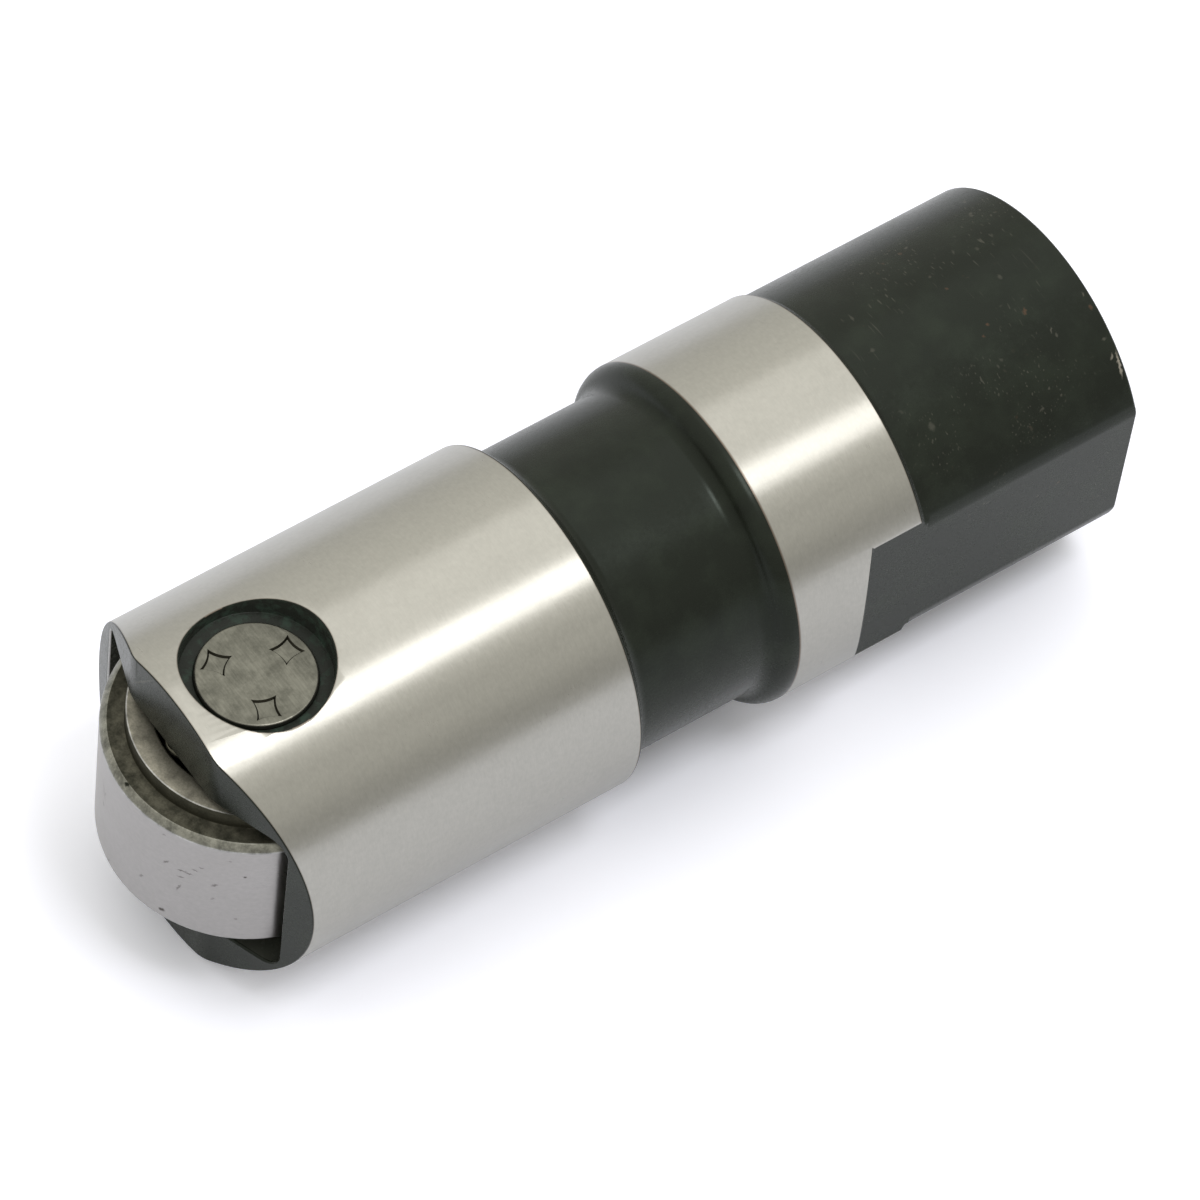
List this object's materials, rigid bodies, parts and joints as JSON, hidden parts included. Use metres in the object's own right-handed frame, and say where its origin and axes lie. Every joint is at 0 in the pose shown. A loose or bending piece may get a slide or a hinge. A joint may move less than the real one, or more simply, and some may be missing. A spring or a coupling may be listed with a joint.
{
  "type": "hydraulic roller valve lifter",
  "caption": "Hydraulic roller lifter: a cam roller on needles in a forked steel body, with a sprung plunger, check valve and pushrod cup inside.",
  "frame": {"origin": "centre of the open rim that the lifter stands on", "axes": "+Z along the lifter's axis from the open rim to the cam roller, Y along the roller's axle, -X and +X out of the two milled flats"},
  "size_m": [0.0214, 0.0214, 0.0628],
  "materials": {
    "black_and_ground_steel": "black oxide, with two centreless-ground lands",
    "ground_roller_steel": "ground tread, dull turned sides",
    "axle_steel": "ground, with staked ends",
    "hardened_steel": "hardened, oiled",
    "ground_plunger_steel": "fine ground",
    "pressed_steel": "bright pressed sheet",
    "spring_steel": "oil-tempered",
    "ball_steel": "polished bearing steel"
  },
  "bodies": {
    "body": {"tappet_body": "black_and_ground_steel", "roller_axle": "axle_steel", "retaining_ring": "spring_steel", "return_spring": "spring_steel"},
    "cam_roller": {"roller": "ground_roller_steel"},
    "needle_set": {"needle_01": "ball_steel", "needle_02": "ball_steel", "needle_03": "ball_steel", "needle_04": "ball_steel", "needle_05": "ball_steel", "needle_06": "ball_steel", "needle_07": "ball_steel", "needle_08": "ball_steel", "needle_09": "ball_steel", "needle_10": "ball_steel", "needle_11": "ball_steel", "needle_12": "ball_steel", "needle_13": "ball_steel"},
    "plunger_group": {"plunger": "ground_plunger_steel", "pushrod_seat": "hardened_steel", "metering_disc": "spring_steel", "check_cage": "pressed_steel", "check_spring": "spring_steel"},
    "check_valve_ball": {"check_ball": "ball_steel"}
  },
  "joints": [
    {"name": "roller_spin", "type": "hinge", "parent": "body", "child": "cam_roller", "pos_m": [0, 0, 0.05438], "axis": [0, 1, 0], "continuous": true},
    {"name": "needle_orbit", "type": "hinge", "parent": "body", "child": "needle_set", "pos_m": [0, 0, 0.05438], "axis": [0, 1, 0], "continuous": true},
    {"name": "plunger_slide", "type": "slide", "parent": "body", "child": "plunger_group", "axis": [0, 0, 1], "range_m": [0, 0.004], "stiffness_N_per_m": 1500, "springref_m": -0.004, "deforming": ["return_spring"]},
    {"name": "check_ball_lift", "type": "slide", "parent": "plunger_group", "child": "check_valve_ball", "axis": [0, 0, 1], "range_m": [0, 0.0004], "stiffness_N_per_m": 20, "springref_m": -0.002, "deforming": ["check_spring"]}
  ],
  "couplings": [
    {"joint": "needle_orbit", "follows": "roller_spin", "ratio": 0.6161}
  ]
}
